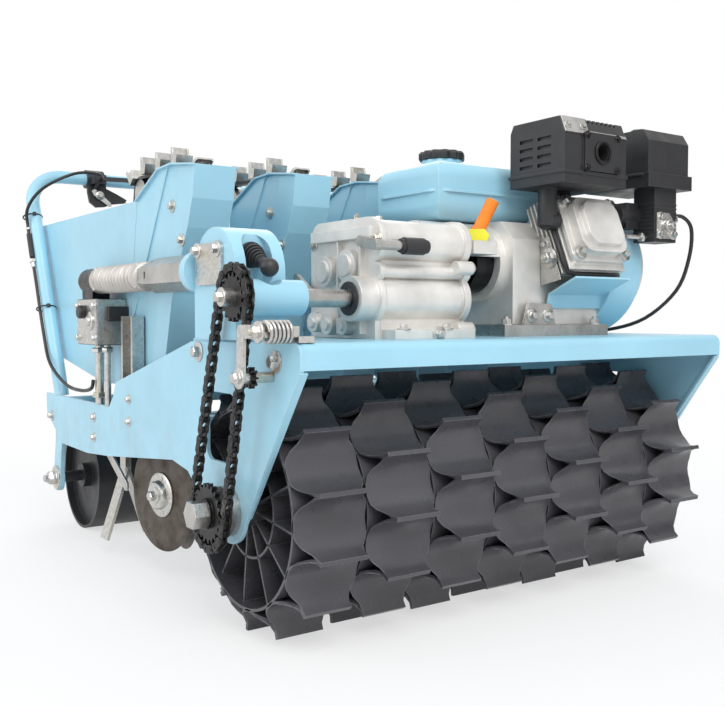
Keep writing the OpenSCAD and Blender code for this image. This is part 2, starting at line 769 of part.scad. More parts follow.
muffler_x = [38, 140];
muffler_y = [57, 182];
muffler_z = [deck_z + 208, deck_z + 297];
module muffler() {
    x = muffler_x;
    y = muffler_y;
    z = muffler_z;
    outlet = [(y[0] + y[1]) / 2 + 9, z[0] + 44];
    color(black) place() {
        difference() {
            union() {
                slab(y[0], y[1]) polygon([[x[0], z[0]], [x[1], z[0]], [x[1], z[1] - 22], [x[1] - 9, z[1]],
                    [x[0] + 6, z[1]], [x[0], z[1] - 12]]);
                box(x + [-2, 2], y + [-2, 2], [z[0] + 13, z[0] + 17]);
                box([x[1], x[1] + 4], [outlet[0] - 34, outlet[0] + 34], [outlet[1] - 26, outlet[1] + 26]);
            }
            for (k = [0 : 3], c = [0, 1]) box([x[0] + 18 + 34 * c, x[0] + 44 + 34 * c], [y[0] - 3, y[0] + 4],
                [z[0] + 24 + 12 * k, z[0] + 29 + 12 * k]);
            for (k = [0 : 6]) box([x[1] - 36, x[1] + 1], [y[0] + 52 + 9 * k, y[0] + 56.5 + 9 * k],
                [z[1] - 5, z[1] + 1]);
            rod_x(outlet[0], outlet[1], 12, x[1] - 16, x[1] + 5);
        }
        on_cylinder() translate([head_u - 12, -20, fin_half]) cylinder(r = 12, h = 34);
        translate([76, 92, z[0] - 52]) cylinder(r = 13.5, h = 54);
        rod_y([76, z[0] - 44], 14.5, 88, cyl_y - fin_half - 0.2);
    }
}

filter_x = [25, 135];
filter_y = [238, 330];
module air_filter() {
    x = filter_x;
    y = filter_y;
    z = deck_z + 216;
    color(black) place() {
        slab(y[0], y[1]) polygon([[x[0], z + 20], [x[1], z + 20], [x[1], z + 68], [x[1] - 10, z + 84],
            [x[0] + 10, z + 84], [x[0], z + 68]]);
        box(x + [-4, 4], y + [-4, 4], [z, z + 21]);
        box([x[1] - 45, x[1] - 7], [y[0] + 24, y[1] - 18], [z - 78, z + 1]);
        rod_y([85, z - 38], 17, cyl_y + fin_half + 0.2, y[0] + 30);
        box([75, 100], [y[0] - 4, y[0] + 22], [z - 58, z - 20]);
    }
}

module fuel_tank() {
    x = [-135, 8];
    y = [-50, 190];
    z = [deck_z + 164.5, deck_z + 248];
    seam = (z[0] + z[1]) / 2 - 4;
    color(paint) place() {
        intersection() {
            slab(y[0], y[1]) round_rect(x, z, 24);
            translate([x[0], 0, 0]) rotate([90, 0, 90]) linear_extrude(x[1] - x[0]) round_rect(y, z, 22);
        }
        translate([0, 0, seam]) linear_extrude(4) round_rect(x + [-4, 4], y + [-4, 4], 26);
        translate([-70, 20, z[1] - 1]) cylinder(r = 30, h = 12);
    }
}

module fan_shroud() {
    color(paint) place() {
        intersection() {
            rod_y(crank, 105, engine_y[1], engine_y[1] + 62);
            box([-200, 200], [0, 400], [deck_z + 4, 600]);
        }
        slab(cyl_y - fin_half + 5, engine_y[1] + 1)
            folded([[56, deck_z + 40], [62, deck_z + 60], [113, deck_z + 83]], 3);
    }
}

module recoil_starter() {
    y = engine_y[1] + 62;
    color(steel) place() difference() {
        union() {
            rod_y(crank, 84, y, y + 30);
            rod_y(crank, 60, y + 29, y + 54);
        }
        for (a = [0 : 30 : 330]) translate([crank[0], y + 31, crank[1]]) rotate([0, a, 0])
            translate([64, -16, -6]) cube([14, 20, 12]);
    }
}

module engine_base() {
    x = [crank[0] - 92, crank[0] + 95];
    gusset = [68, 112];
    color(steel) place() {
        box(x, [13, engine_y[1] - 2], [deck_z, deck_z + 16]);
        translate([x[1] - 14, 0, 0]) rotate([90, 0, 90]) linear_extrude(5)
            polygon([[gusset[0] - 10, deck_z + 15], [gusset[1] + 10, deck_z + 15], [gusset[1], deck_z + 46],
                [gusset[0], deck_z + 46]]);
        slab(cyl_y - fin_half - 3, cyl_y - fin_half) polygon([[53, deck_z + 140], [68, deck_z + 142],
            [92, deck_z + 80], [53, deck_z + 72]]);
    }
}

module engine_coupling() {
    color(black) place() {
        rod_y(crank, 26, gearbox_y[1], 8);
        rod_y(crank, 44, 8, engine_y[0] - 10);
    }
}

throttle_route = [[108, 313, 385], [108, 323, 386], [111, 350, 388], [112, 372, 370], [104, 378, 325],
    [84, 374, 275], [40, 355, 232], [-20, 338, 213], [-95, 330, 210.2]];
module throttle_cable() {
    color(black) place() swept_tube(route(throttle_route, 5), 3);
}

// Drum

module axle_bearings() {
    color(steel) place() both_sides() difference() {
        rod_y([0, 0], axle_r + 18, -frame_half - bearing_w, -frame_half);
        rod_y([0, 0], axle_r + run_fit, -frame_half - 20, 0);
    }
}

module drum_axle() {
    color(steel) place() {
        rod_y([0, 0], axle_r, axle_right + nut_l, axle_left - stub_l);
        rod_y([0, 0], stub_r, axle_left - stub_l, axle_left);
        translate([0, axle_right, 0]) rotate([-90, 0, 0]) cylinder(r = axle_r + 5, h = nut_l, $fn = 6);
    }
}

// Points round the wheel's outline: each valley between two lugs is an arc about a centre on the tip circle
function valley_arc(r, reach, steps, last) = [for (k = [0 : lug_count - 1], j = [0 : last]) let (
    mid = (k + 0.5) * lug_step, a = mid + 180 + reach * (1 - 2 * j / steps))
    lug_tip_r * [cos(mid), sin(mid)] + r * [cos(a), sin(a)]];
function ring_points(r, n) = [for (k = [0 : n - 1]) r * [cos(360 * k / n), sin(360 * k / n)]];

module wheel_ring(w, r_out, r_in, n) {
    translate([0, 0, -w / 2]) linear_extrude(w) difference() {
        polygon(ring_points(r_out, n));
        polygon(ring_points(r_in, n));
    }
}

// Wedge that narrows one lug from the wheel's full width at the floor to the lug's width at its tip
module lug_taper() {
    r = floor_r + 1;
    translate([0, valley_r * 0.7, 0]) rotate([90, 0, 0]) linear_extrude(1.4 * valley_r)
        polygon([[r, wheel_w / 2], [lug_tip_r + 1, lug_tip_w / 2], [lug_tip_r + 1, wheel_w], [r, wheel_w]]);
}

module drum_wheel(open_end) {
    web_t = 5;
    hub_r = axle_r + 10;
    spoke_w = wheel_w * 0.8;
    bore_r = (axle_r + run_fit) / cos(180 / 12);
    difference() {
        translate([0, 0, -wheel_w / 2]) linear_extrude(wheel_w) difference() {
            polygon(valley_arc(valley_r, valley_reach, 6, 6));
            polygon(valley_arc(hollow_r, hollow_reach, 4, 3));
        }
        for (k = [0 : lug_count - 1], side = [0, 1]) rotate(k * lug_step) mirror([0, 0, side]) lug_taper();
    }
    difference() {
        union() {
            translate([0, 0, -web_t / 2]) linear_extrude(web_t)
                polygon([for (p = valley_arc(hollow_r, hollow_reach, 4, 3)) 1.01 * p]);
            wheel_ring(wheel_w, hub_r, bore_r - 1, 12);
            if (open_end) {
                wheel_ring(spoke_w, rim_r * 0.52, rim_r * 0.52 - 4, 24);
                for (k = [0 : 11]) rotate(30 * k) translate([hub_r - 2, -1.5, -spoke_w / 2])
                    cube([rim_r - hub_r + 4, 3, spoke_w]);
            }
        }
        translate([0, 0, -wheel_w]) cylinder(r = bore_r, h = 2 * wheel_w, $fn = 12);
    }
}

module drum_wheels() {
    color(black) place() for (i = [0 : wheel_count - 1]) {
        y = (i - (wheel_count - 1) / 2) * (wheel_w + wheel_gap);
        phase = -90 + (i % 2 == 0 ? -1 : 1) * lug_step / 4;
        translate([0, y, 0]) rotate([90, 0, 0]) rotate(phase) drum_wheel(i == 0 || i == wheel_count - 1);
    }
}

// Openers and covering blades

pin_r = 8;
scraper_y = disc_half + disc_r * sin(disc_toe) + disc_t + free_gap + 3;
module opener_shanks() {
    color(steel) place() for (y = row_y) {
        slab(y - 5, y + 5) {
            translate(front_bar - [toolbar_w / 2, toolbar_w / 2 + 12]) square([toolbar_w, 12]);
            bar(front_bar - [4, toolbar_w / 2 + 11], [disc_x, disc_z], 22);
        }
        for (s = [-1, 1]) translate([disc_x, y, disc_z]) rotate([0, 0, -s * disc_toe]) rotate([-s * 90, 0, 0])
            cylinder(r = pin_r, h = disc_half / cos(disc_toe) + disc_t + 12);
        for (s = [-1, 1]) slab(y + s * scraper_y - 1.5, y + s * scraper_y + 1.5) {
            bar([rear_bar[0] + 5, rear_bar[1] - toolbar_w / 2 - 11], [disc_x - disc_r - 3, disc_z + 2], 16);
            translate(rear_bar - [10, toolbar_w / 2 + 12]) square([24, 12]);
        }
    }
}

boot_side = [[-348, 95], [-276, 95], [-318, 58], [-324, -95], [-370, -95], [-370, 40], [-352, 62]];
module boot_form(wall, over) {
    half = row_w / 2 - wall;
    neck = 13 - wall;
    intersection() {
        slab(-half, half) intersection() {
            offset_side(wall);
            translate([-500, -95 - over]) square([500, 190 + 2 * over]);
        }
        translate([-500, 0, 0]) rotate([90, 0, 90]) linear_extrude(500)
            polygon([[-half, 95 + over], [half, 95 + over], [neck, 58], [neck, -95 - over],
                [-neck, -95 - over], [-neck, 58]]);
    }
}

module offset_side(wall) {
    p = boot_side;
    polygon([p[0] + [wall, 1], p[1] + [-wall, 1], p[2] + [-wall, 0], p[3] + [-wall, -1], p[4] + [wall, -1],
        p[5] + [wall, 0], p[6] + [wall, 0]]);
}

module seed_boots() {
    color(paint) place() for (y = row_y) translate([0, y, 0]) difference() {
        boot_form(0, 0);
        boot_form(2, 1);
    }
}

module opener_disc(row, side) {
    bore = pin_r + run_fit;
    bevel = 8;
    color([0.30, 0.26, 0.22]) place() translate([disc_x, row_y[row], disc_z]) rotate([0, 0, -side * disc_toe])
        rotate([-side * 90, 0, 0]) translate([0, 0, disc_half / cos(disc_toe)]) rotate_extrude()
            polygon([[bore, 0], [disc_r - bevel, 0], [disc_r, disc_t * 0.35], [disc_r, disc_t * 0.65],
                [disc_r - bevel, disc_t], [30, disc_t], [28, disc_t + 3], [20, disc_t + 3], [18, disc_t + 11],
                [bore, disc_t + 11]]);
}

module disc_1r() { opener_disc(0, -1); }
module disc_1l() { opener_disc(0, 1); }
module disc_2r() { opener_disc(1, -1); }
module disc_2l() { opener_disc(1, 1); }
module disc_3r() { opener_disc(2, -1); }
module disc_3l() { opener_disc(2, 1); }
module disc_4r() { opener_disc(3, -1); }
module disc_4l() { opener_disc(3, 1); }
module disc_5r() { opener_disc(4, -1); }
module disc_5l() { opener_disc(4, 1); }

module covering_blades() {
    color(zinc) place() for (y = row_y) {
        box([rear_bar[0] - 12, rear_bar[0] + 12], [y - 5, y + 5], [-30, rear_bar[1] - toolbar_w / 2]);
        for (s = [-1, 1]) translate([rear_bar[0], y, -20]) rotate([s * 18, 0, 0])
            translate([-15, -2.5, -120]) cube([30, 5, 125]);
    }
}

// Press roller

module press_roller() {
    half = roller_l / 2;
    dish = 14;
    wall = 5;
    color(black) place() translate([roller_x, 0, roller_z]) rotate([-90, 0, 0]) difference() {
        union() {
            translate([0, 0, -half]) cylinder(r = roller_r, h = roller_l);
            translate([0, 0, -plate_in + 1]) cylinder(r = roller_axle_r, h = 2 * (plate_in - 1));
        }
        for (s = [0, 1]) mirror([0, 0, s]) translate([0, 0, half - dish]) difference() {
            cylinder(r = roller_r - wall, h = dish + 1);
            translate([0, 0, -1]) cylinder(r = roller_axle_r + 12, h = dish + 3);
        }
        translate([0, 0, -half + dish + wall]) difference() {
            cylinder(r = roller_r - wall, h = 2 * (half - dish - wall));
            translate([0, 0, -1]) cylinder(r = roller_axle_r, h = 2 * half);
        }
    }
}

module roller_brackets() {
    color(paint) place() both_sides() slab(-plate_in, -plate_in + 8) difference() {
        union() {
            bar([foot_x - 10, 44], [foot_x - 10, 10], 36);
            bar([foot_x - 10, 10], [roller_x, roller_z], 36);
            translate([roller_x, roller_z]) circle(24);
        }
        translate([roller_x, roller_z]) circle(roller_axle_r + run_fit);
    }
}

deck_plate();
side_plate_right();
side_plate_left();
cross_tubes();
handlebar();
clutch_lever();
clutch_cable();
seed_hopper();
row_housings();
cup_chains();
seed_cups();
lift_frames();
seed_shaft();
support_columns();
seed_drive_case();
adjuster_rods();
bevel_box();
bevel_cover();
shift_boot();
coupling_sleeves();
coupling_spring();
gearbox_case();
selector_rod();
selector_grip();
oil_cap();
output_shaft();
upper_sprocket();
lower_sprocket();
drive_chain();
chain_tensioner();
idler_sprocket();
engine_block();
rocker_cover();
muffler();
air_filter();
fuel_tank();
fan_shroud();
recoil_starter();
engine_base();
engine_coupling();
throttle_cable();
axle_bearings();
drum_axle();
drum_wheels();
opener_shanks();
seed_boots();
disc_1r();
disc_1l();
disc_2r();
disc_2l();
disc_3r();
disc_3l();
disc_4r();
disc_4l();
disc_5r();
disc_5l();
covering_blades();
press_roller();
roller_brackets();
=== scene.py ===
"""Looks of the walk-behind potato planter: finishes for the CAD solids, small parts, studio and camera.

Metres, in the frame of the CAD model: +X forwards, +Y to the machine's left, +Z up, ground at Z = 0.
"""

import json
import math

import bmesh
import bpy
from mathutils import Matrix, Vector


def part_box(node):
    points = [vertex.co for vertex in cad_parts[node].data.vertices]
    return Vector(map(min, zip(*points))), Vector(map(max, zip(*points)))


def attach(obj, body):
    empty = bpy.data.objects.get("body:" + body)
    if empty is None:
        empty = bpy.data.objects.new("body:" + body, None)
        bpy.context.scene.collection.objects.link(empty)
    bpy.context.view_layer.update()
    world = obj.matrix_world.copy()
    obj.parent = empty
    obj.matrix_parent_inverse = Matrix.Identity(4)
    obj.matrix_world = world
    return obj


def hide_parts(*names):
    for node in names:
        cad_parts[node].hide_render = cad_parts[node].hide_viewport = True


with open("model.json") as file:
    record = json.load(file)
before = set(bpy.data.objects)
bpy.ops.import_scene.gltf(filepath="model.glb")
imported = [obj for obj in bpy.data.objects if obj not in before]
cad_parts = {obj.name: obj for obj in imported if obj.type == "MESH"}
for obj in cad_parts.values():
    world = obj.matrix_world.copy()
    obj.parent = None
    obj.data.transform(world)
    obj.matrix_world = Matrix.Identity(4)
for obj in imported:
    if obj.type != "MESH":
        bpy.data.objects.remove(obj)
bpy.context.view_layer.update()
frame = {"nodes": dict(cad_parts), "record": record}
nodes = frame["nodes"]

# The drum axle's line and the machine's centre plane, from which the CAD source measures
AXLE = (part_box("drum_axle")[0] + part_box("drum_axle")[1]) / 2
CENTRE_Y = (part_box("deck_plate")[0].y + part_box("deck_plate")[1].y) / 2


def at(x, y, z):
    """A point given in millimetres from the drum axle's line, on the machine's centre plane."""
    return Vector((AXLE.x + x / 1000, CENTRE_Y + y / 1000, AXLE.z + z / 1000))


# Finishes


def linear(red, green, blue):
    """An 8-bit display colour as the linear colour that shaders use."""
    return tuple(
        c / 12.92 if c <= 0.04045 else ((c + 0.055) / 1.055) ** 2.4
        for c in (red / 255, green / 255, blue / 255)
    ) + (1.0,)


def darker(colour, share):
    return tuple(share * c for c in colour[:3]) + (1.0,)


class Finish:
    """A Principled material, with the few node patterns that the finishes share."""

    def __init__(self, name, metallic=0.0, edge=0.0008):
        self.material = bpy.data.materials.new(name)
        self.material.use_nodes = True
        self.tree = self.material.node_tree
        self.shader = self.tree.nodes["Principled BSDF"]
        self.shader.inputs["Metallic"].default_value = metallic
        self.place = self.node("ShaderNodeTexCoord").outputs["Object"]
        self.normal = self.node("ShaderNodeBevel", Radius=edge).outputs["Normal"]

    def node(self, kind, settings=(), **inputs):
        made = self.tree.nodes.new(kind)
        for key, value in dict(settings).items():
            setattr(made, key, value)
        for key, value in inputs.items():
            self.set(made.inputs[key.replace("_", " ")], value)
        return made

    def set(self, socket, value):
        if isinstance(value, bpy.types.NodeSocket):
            self.tree.links.new(value, socket)
        else:
            socket.default_value = value

    def noise(self, scale, detail=3.0, stretch=(1, 1, 1)):
        """Noise of about 1/scale metres; stretch lengthens its grain along an axis."""
        mapped = self.node("ShaderNodeMapping", Vector=self.place)
        mapped.inputs["Scale"].default_value = stretch
        return self.node(
            "ShaderNodeTexNoise", Vector=mapped.outputs[0], Scale=scale, Detail=detail
        ).outputs["Fac"]

    def span(self, value, low, high, out_low, out_high):
        """A value from low to high, spread over another span and held there."""
        made = self.node("ShaderNodeMapRange", Value=value)
        limits = {"From Min": low, "From Max": high, "To Min": out_low, "To Max": out_high}
        for key, number in limits.items():
            made.inputs[key].default_value = number
        return made.outputs["Result"]

    def blend(self, share, first, second):
        """Two colours mixed by a share."""
        made = self.node("ShaderNodeMix", {"data_type": "RGBA"})
        for socket, value in zip((made.inputs[0], made.inputs[6], made.inputs[7]), (share, first, second)):
            self.set(socket, value)
        return made.outputs[2]

    def math(self, operation, first, second):
        made = self.node("ShaderNodeMath", {"operation": operation})
        self.set(made.inputs[0], first)
        self.set(made.inputs[1], second)
        return made.outputs[0]

    def edges(self):
        """1 on sharp edges and 0 on flat faces, found where the rounded normal leaves the face's own."""
        flat = self.node("ShaderNodeNewGeometry").outputs["True Normal"]
        dot = self.node("ShaderNodeVectorMath", {"operation": "DOT_PRODUCT"})
        self.set(dot.inputs[0], self.normal)
        self.set(dot.inputs[1], flat)
        return self.span(dot.outputs["Value"], 0.985, 0.8, 0.0, 1.0)

    def relief(self, *layers):
        """Bumps of (height, depth in metres) over the rounded edges."""
        normal = self.normal
        for height, depth in layers:
            normal = self.node(
                "ShaderNodeBump", Strength=1.0, Distance=depth, Height=height, Normal=normal
            ).outputs["Normal"]
        self.set(self.shader.inputs["Normal"], normal)

    def finish(self, colour, roughness):
        self.set(self.shader.inputs["Base Color"], colour)
        self.set(self.shader.inputs["Roughness"], roughness)
        return self.material


def painted(name, colour, dusty):
    """Powder-coated sheet: slight orange peel, a painted highlight that pales the edges, and dust settled
    towards the ground.
    """
    f = Finish(name, edge=0.0012)
    cloud = f.noise(7, 5)
    body = f.blend(f.span(cloud, 0.35, 0.7, 0.0, 1.0), colour, darker(colour, 0.9))
    # Painted highlight: every edge paled towards a light blue, as if catching the light.
    painted_edge_highlight = f.blend(f.math("MULTIPLY", f.edges(), 0.75), body, linear(214, 236, 244))
    height = f.node("ShaderNodeSeparateXYZ", Vector=f.place).outputs["Z"]
    low = f.span(height, 0.34, 0.08, 0.0, dusty)
    dust = f.math("MULTIPLY", low, f.span(f.noise(38, 6), 0.42, 0.66, 0.0, 1.0))
    f.shader.inputs["Coat Weight"].default_value = 0.18
    f.shader.inputs["Coat Roughness"].default_value = 0.16
    f.relief((f.noise(900, 2), 0.00006), (f.noise(60, 2), 0.00012))
    shade = f.blend(dust, painted_edge_highlight, linear(150, 146, 132))
    return f.finish(shade, f.span(f.noise(30, 4), 0.3, 0.7, 0.3, 0.46))


def moulded(name, colour, scuff_and_highlight_colour, rough, streaks=(1, 1, 1)):
    """Moulded plastic: fine grain, faint flow streaks, and edges lightened partly by scuffs and partly by a
    painted highlight.
    """
    f = Finish(name, edge=0.0012)
    flow = f.noise(26, 4, streaks)
    body = f.blend(f.span(flow, 0.35, 0.7, 0.0, 1.0), colour, darker(colour, 0.72))
    # Edges lightened: a painted highlight along every edge, with scuffed patches brighter still.
    scuff_and_highlight = f.math("MULTIPLY", f.edges(), f.span(f.noise(90, 5), 0.3, 0.6, 0.25, 0.9))
    f.relief((f.noise(1500, 2), 0.00008), (flow, 0.0002))
    shade = f.blend(scuff_and_highlight, body, scuff_and_highlight_colour)
    return f.finish(shade, f.span(f.noise(45, 5), 0.3, 0.7, rough - 0.09, rough + 0.1))


def cast(name, colour):
    """Die-cast alloy: pebbled skin, stained hollows and bright rubbed edges."""
    f = Finish(name, metallic=0.55, edge=0.002)
    stain = f.noise(24, 6)
    body = f.blend(f.span(stain, 0.35, 0.72, 0.0, 1.0), colour, darker(colour, 0.78))
    bright = f.blend(f.math("MULTIPLY", f.edges(), 0.6), body, linear(236, 234, 230))
    f.relief((f.noise(420, 4), 0.0003), (f.noise(60, 3), 0.0003))
    return f.finish(bright, f.span(f.noise(70, 5), 0.3, 0.7, 0.34, 0.52))


def zinc(name, colour):
    """Zinc-plated steel: soft spangle, faint yellow tint and uneven gloss."""
    f = Finish(name, metallic=1.0)
    cells = f.node("ShaderNodeTexVoronoi", Vector=f.place, Scale=240.0).outputs["Color"]
    grey = f.node("ShaderNodeRGBToBW", Color=cells).outputs[0]
    body = f.blend(f.span(grey, 0.2, 0.8, 0.0, 1.0), colour, darker(colour, 0.8))
    tint = f.blend(f.span(f.noise(35, 4), 0.5, 0.75, 0.0, 0.5), body, linear(196, 184, 150))
    f.relief((f.noise(300, 3), 0.0001))
    return f.finish(tint, f.span(f.noise(80, 5), 0.3, 0.7, 0.24, 0.42))


def turned(name, colour, rough):
    """Bright steel with fine machining lines and grey stains."""
    f = Finish(name, metallic=1.0)
    lines = f.noise(120, 2, (1, 14, 1))
    stain = f.span(f.noise(28, 5), 0.4, 0.7, 0.0, 0.8)
    body = f.blend(stain, colour, darker(colour, 0.6))
    f.relief((lines, 0.0001))
    return f.finish(body, f.span(lines, 0.3, 0.7, rough - 0.07, rough + 0.1))


def blackened(name):
    """Oiled black steel of chain and sprockets, with bright edges that are partly rubbed wear and partly
    painted glints.
    """
    f = Finish(name, metallic=0.7)
    body = f.blend(f.span(f.noise(60, 5), 0.35, 0.7, 0.0, 1.0), linear(44, 43, 44), linear(24, 24, 25))
    # Bright edges in patches: partly rubbed wear, partly painted glints on the pins and plates.
    rubbed = f.math("MULTIPLY", f.edges(), f.span(f.noise(140, 4), 0.4, 0.65, 0.0, 0.8))
    f.relief((f.noise(500, 3), 0.0001))
    shade = f.blend(rubbed, body, linear(150, 148, 142))
    return f.finish(shade, f.span(f.noise(90, 4), 0.3, 0.7, 0.26, 0.44))


def soil_steel(name):
    """Opener disc steel: brown-grey mill scale with rust and bright rubbed edges."""
    f = Finish(name, metallic=0.55)
    rust = f.span(f.noise(40, 7), 0.4, 0.68, 0.0, 1.0)
    body = f.blend(rust, linear(92, 84, 76), linear(62, 50, 42))
    bright = f.blend(f.math("MULTIPLY", f.edges(), 0.7), body, linear(158, 152, 146))
    f.relief((f.noise(260, 5), 0.0003))
    return f.finish(bright, f.span(f.noise(70, 5), 0.3, 0.7, 0.36, 0.58))


FINISHES = {
    "blue_paint": painted("blue_paint", linear(160, 209, 228), 0.3),
    "black_plastic": moulded("black_plastic", linear(42, 42, 44), linear(92, 92, 94), 0.46),
    "drum_plastic": moulded("drum_plastic", linear(78, 77, 81), linear(140, 140, 144), 0.3, (1, 0.15, 1)),
    "black_cable": moulded("black_cable", linear(32, 32, 33), linear(70, 70, 72), 0.4),
    "black_steel": blackened("black_steel"),
    "zinc_steel": zinc("zinc_steel", linear(206, 205, 202)),
    "bare_steel": turned("bare_steel", linear(190, 188, 184), 0.3),
    "cast_alloy": cast("cast_alloy", linear(232, 229, 224)),
    "orange_plastic": moulded("orange_plastic", linear(252, 136, 22), linear(255, 190, 110), 0.36),
    "disc_steel": soil_steel("disc_steel"),
}

for part in frame["record"]["subparts"]:
    mesh = nodes[part["node"]].data
    mesh.materials.clear()
    mesh.materials.append(FINISHES[part["material_slot"]])


# Small parts, in millimetres as the CAD source measures

FORWARD, REARWARD = (1, 0, 0), (-1, 0, 0)
LEFT, RIGHT = (0, 1, 0), (0, -1, 0)
UP = (0, 0, 1)
SIDES = (-1, 1)

ROW_PITCH = 157.5
ROW_YS = [ROW_PITCH * place for place in (-2, -1, 0, 1, 2)]
PLATE_FACE = 370
CHAIN_Y = -397
OUTPUT_X, OUTPUT_Z = 68, 257
DRIVE_Y, DRIVE_Z = -374, 291

SMOOTH_BELOW = math.radians(38)


def axes(direction):
    """Two directions across a direction, and the direction itself."""
    along = Vector(direction).normalized()
    across = (Vector((0, 0, 1)) if abs(along.z) < 0.9 else Vector((1, 0, 0))).cross(along).normalized()
    return across, along.cross(across), along


def circle(count):
    return [(math.cos(2 * math.pi * k / count), math.sin(2 * math.pi * k / count)) for k in range(count)]


class Shape:
    """A mesh in the making."""

    def __init__(self):
        self.mesh = bmesh.new()

    def skin(self, rings, closed=False):
        """Faces from ring to ring of points; open ends are capped, or the last ring joins the first."""
        rows = [[self.mesh.verts.new(at(*p)) for p in ring] for ring in rings]
        count = len(rows[0])
        for low, high in zip(rows, rows[1:] + (rows[:1] if closed else [])):
            for k in range(count):
                n = (k + 1) % count
                self.mesh.faces.new((low[k], low[n], high[n], high[k]))
        if not closed:
            self.mesh.faces.new(rows[0])
            self.mesh.faces.new(rows[-1])

    def turned(self, place, axis, profile, sides, closed=False):
        """A profile of (height, radius) turned about an axis; a closed profile makes a hollow ring."""
        u, v, w = axes(axis)
        rays = [c * u + s * v for c, s in circle(sides)]
        self.skin([[Vector(place) + h * w + r * ray for ray in rays] for h, r in profile], closed)

    def tube(self, path, radius, sides):
        """A round tube along points."""
        path = [Vector(p) for p in path]
        rings, side = [], None
        for i, p in enumerate(path):
            along = (path[min(i + 1, len(path) - 1)] - path[max(i - 1, 0)]).normalized()
            side = axes(along)[0] if side is None else (side - side.dot(along) * along).normalized()
            other = along.cross(side)
            rings.append([p + radius * (c * side + s * other) for c, s in circle(sides)])
        self.skin(rings)

    def loop(self, path, radius, normal, sides):
        """A round tube along a flat closed path."""
        path, normal = [Vector(p) for p in path], Vector(normal).normalized()
        rings = []
        for i, p in enumerate(path):
            out = (path[(i + 1) % len(path)] - path[i - 1]).normalized().cross(normal)
            rings.append([p + radius * (c * out + s * normal) for c, s in circle(sides)])
        self.skin(rings, closed=True)

    def plate(self, outline, offset):
        """A flat outline thickened by an offset."""
        first = [Vector(p) for p in outline]
        self.skin([first, [p + Vector(offset) for p in first]])

    def bolt(self, place, axis, flats, stud=0.0):
        """A chamfered hexagon head on its washer, with the end of a stud where there is one."""
        corner, head, washer = flats / math.sqrt(3), 0.62 * flats, 0.14 * flats
        top = washer + head
        disc = [(-0.2, flats), (0.8 * washer, flats), (washer, 0.94 * flats)]
        hexagon = [(washer - 0.1, corner), (washer + 0.8 * head, corner), (top, 0.84 * corner)]
        self.turned(place, axis, disc, 18)
        self.turned(place, axis, hexagon, 6)
        if stud:
            thread, end = 0.3 * flats, top + stud
            self.turned(place, axis, [(top - 0.5, thread), (end - 1, thread), (end, 0.22 * flats)], 10)

    def coil(self, start, axis, length, radius, wire, turns):
        """A helix of wire about an axis."""
        u, v, w = axes(axis)
        per_turn = 20
        count = turns * per_turn
        path = []
        for k in range(count + 1):
            turn = 2 * math.pi * k / per_turn
            out = math.cos(turn) * u + math.sin(turn) * v
            path.append(Vector(start) + w * (length * k / count) + radius * out)
        self.tube(path, wire, 8)


def piece(name, slot, body, shape, replaces=(), finish=None):
    """An object of a shape, with its finish, that rides on a body and may stand for CAD nodes."""
    bmesh.ops.recalc_face_normals(shape.mesh, faces=shape.mesh.faces)
    mesh = bpy.data.meshes.new(name)
    shape.mesh.to_mesh(mesh)
    shape.mesh.free()
    mesh.polygons.foreach_set("use_smooth", [True] * len(mesh.polygons))
    mesh.set_sharp_from_angle(angle=SMOOTH_BELOW)
    mesh.materials.append(finish or FINISHES[slot])
    made = bpy.data.objects.new(name, mesh)
    bpy.context.scene.collection.objects.link(made)
    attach(made, body)
    if replaces:
        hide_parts(*replaces)


